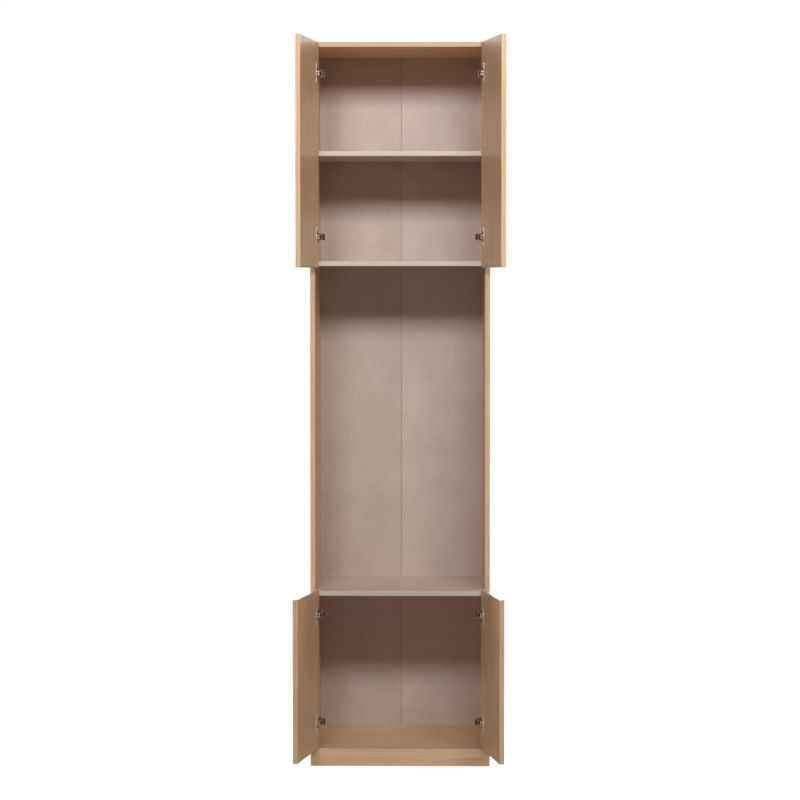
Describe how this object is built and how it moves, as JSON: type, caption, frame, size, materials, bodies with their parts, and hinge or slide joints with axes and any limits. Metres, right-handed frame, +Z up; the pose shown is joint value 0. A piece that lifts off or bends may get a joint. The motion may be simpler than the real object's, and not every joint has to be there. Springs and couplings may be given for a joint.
{
  "type": "tall storage cabinet",
  "caption": "Tall narrow storage cabinet: doors on concealed cup hinges above and below an open niche, a loose shelf in the upper compartment, a plinth and a split back.",
  "frame": {"origin": "middle of the plinth's lower front edge, on the floor", "axes": "+X to the right as seen from the front, +Y from the front into the cabinet, +Z up"},
  "size_m": [0.6883, 0.7592, 2.42],
  "materials": {
    "oak_side": "light oak decor, grain upright, satin melamine",
    "oak_across": "light oak decor, grain across, satin melamine",
    "oak_door": "light oak decor, grain upright, satin melamine",
    "linen_board": "linen decor, satin melamine",
    "linen_back": "linen decor on thin board, satin",
    "tape": "matt adhesive tape",
    "beech": "bare fluted beech",
    "zinc": "bright zinc plate",
    "hinge_steel": "nickel plate, satin",
    "hinge_screw": "nickel plate, polished"
  },
  "bodies": {
    "carcass": {"side_panel_left": "oak_side", "side_panel_right": "oak_side", "top_panel": "oak_across", "upper_shelf": "linen_board", "upper_floor_panel": "linen_board", "niche_floor_panel": "linen_board", "bottom_panel": "oak_across", "plinth_front": "oak_across", "plinth_rear": "oak_across", "back_panel_left": "linen_back", "back_panel_right": "linen_back", "back_seam_tape": "tape", "shelf_pins": "zinc", "dowels": "beech", "cam_bolts": "zinc", "cam_housings": "zinc", "hinge_arm_pins": "hinge_screw", "hinge_arm_screws": "hinge_screw", "mounting_plate_screws": "hinge_screw", "upper_left_mounting_plates": "hinge_steel", "upper_left_hinge_arms": "hinge_steel", "upper_right_mounting_plates": "hinge_steel", "upper_right_hinge_arms": "hinge_steel", "lower_left_mounting_plates": "hinge_steel", "lower_left_hinge_arms": "hinge_steel", "lower_right_mounting_plates": "hinge_steel", "lower_right_hinge_arms": "hinge_steel"},
    "upper_left_outer_link_pair": {"upper_left_outer_links": "hinge_steel"},
    "upper_left_leaf": {"upper_left_door": "oak_door", "upper_left_hinge_cups": "hinge_steel", "upper_left_cup_screws": "hinge_screw", "upper_left_cup_pins": "hinge_screw"},
    "upper_left_inner_link_pair": {"upper_left_inner_links": "hinge_steel"},
    "upper_right_outer_link_pair": {"upper_right_outer_links": "hinge_steel"},
    "upper_right_leaf": {"upper_right_door": "oak_door", "upper_right_hinge_cups": "hinge_steel", "upper_right_cup_screws": "hinge_screw", "upper_right_cup_pins": "hinge_screw"},
    "upper_right_inner_link_pair": {"upper_right_inner_links": "hinge_steel"},
    "lower_left_outer_link_pair": {"lower_left_outer_links": "hinge_steel"},
    "lower_left_leaf": {"lower_left_door": "oak_door", "lower_left_hinge_cups": "hinge_steel", "lower_left_cup_screws": "hinge_screw", "lower_left_cup_pins": "hinge_screw"},
    "lower_left_inner_link_pair": {"lower_left_inner_links": "hinge_steel"},
    "lower_right_outer_link_pair": {"lower_right_outer_links": "hinge_steel"},
    "lower_right_leaf": {"lower_right_door": "oak_door", "lower_right_hinge_cups": "hinge_steel", "lower_right_cup_screws": "hinge_screw", "lower_right_cup_pins": "hinge_screw"},
    "lower_right_inner_link_pair": {"lower_right_inner_links": "hinge_steel"}
  },
  "joints": [
    {"name": "upper_left_outer_link_turn", "type": "hinge", "parent": "carcass", "child": "upper_left_outer_link_pair", "pos_m": [-0.2655, 0.006, 2.044], "axis": [0, 0, 1], "range_deg": [-36.15, 3.95]},
    {"name": "upper_left_door_swing", "type": "hinge", "parent": "upper_left_outer_link_pair", "child": "upper_left_leaf", "pos_m": [-0.27666, -0.01636, 2.044], "axis": [0, 0, -1], "range_deg": [-133.65, 9.45]},
    {"name": "upper_left_inner_link_turn", "type": "hinge", "parent": "upper_left_leaf", "child": "upper_left_inner_link_pair", "pos_m": [-0.2809, -0.01914, 2.044], "axis": [0, 0, 1], "range_deg": [-114.36, 9.48]},
    {"name": "upper_right_outer_link_turn", "type": "hinge", "parent": "carcass", "child": "upper_right_outer_link_pair", "pos_m": [0.2655, 0.006, 2.044], "axis": [0, 0, -1], "range_deg": [-36.99, 3.11]},
    {"name": "upper_right_door_swing", "type": "hinge", "parent": "upper_right_outer_link_pair", "child": "upper_right_leaf", "pos_m": [0.27634, -0.01653, 2.044], "axis": [0, 0, 1], "range_deg": [-136.89, 6.21]},
    {"name": "upper_right_inner_link_turn", "type": "hinge", "parent": "upper_right_leaf", "child": "upper_right_inner_link_pair", "pos_m": [0.28068, -0.01912, 2.044], "axis": [0, 0, -1], "range_deg": [-117.1, 6.74]},
    {"name": "lower_left_outer_link_turn", "type": "hinge", "parent": "carcass", "child": "lower_left_outer_link_pair", "pos_m": [-0.2655, 0.006, 0.32875], "axis": [0, 0, 1], "range_deg": [-36.95, 3.15]},
    {"name": "lower_left_door_swing", "type": "hinge", "parent": "lower_left_outer_link_pair", "child": "lower_left_leaf", "pos_m": [-0.27635, -0.01652, 0.32875], "axis": [0, 0, -1], "range_deg": [-136.75, 6.34]},
    {"name": "lower_left_inner_link_turn", "type": "hinge", "parent": "lower_left_leaf", "child": "lower_left_inner_link_pair", "pos_m": [-0.28069, -0.01912, 0.32875], "axis": [0, 0, 1], "range_deg": [-116.98, 6.86]},
    {"name": "lower_right_outer_link_turn", "type": "hinge", "parent": "carcass", "child": "lower_right_outer_link_pair", "pos_m": [0.2655, 0.006, 0.32875], "axis": [0, 0, -1], "range_deg": [-36.71, 3.39]},
    {"name": "lower_right_door_swing", "type": "hinge", "parent": "lower_right_outer_link_pair", "child": "lower_right_leaf", "pos_m": [0.27645, -0.01647, 0.32875], "axis": [0, 0, 1], "range_deg": [-135.81, 7.29]},
    {"name": "lower_right_inner_link_turn", "type": "hinge", "parent": "lower_right_leaf", "child": "lower_right_inner_link_pair", "pos_m": [0.28076, -0.01912, 0.32875], "axis": [0, 0, -1], "range_deg": [-116.18, 7.66]}
  ],
  "couplings": [
    {"joint": "upper_left_outer_link_turn", "follows": "upper_left_door_swing", "ratio": 0.25926},
    {"joint": "upper_left_inner_link_turn", "follows": "upper_left_door_swing", "ratio": 0.84444},
    {"joint": "upper_right_outer_link_turn", "follows": "upper_right_door_swing", "ratio": 0.25926},
    {"joint": "upper_right_inner_link_turn", "follows": "upper_right_door_swing", "ratio": 0.84444},
    {"joint": "lower_left_outer_link_turn", "follows": "lower_left_door_swing", "ratio": 0.25926},
    {"joint": "lower_left_inner_link_turn", "follows": "lower_left_door_swing", "ratio": 0.84444},
    {"joint": "lower_right_outer_link_turn", "follows": "lower_right_door_swing", "ratio": 0.25926},
    {"joint": "lower_right_inner_link_turn", "follows": "lower_right_door_swing", "ratio": 0.84444}
  ]
}
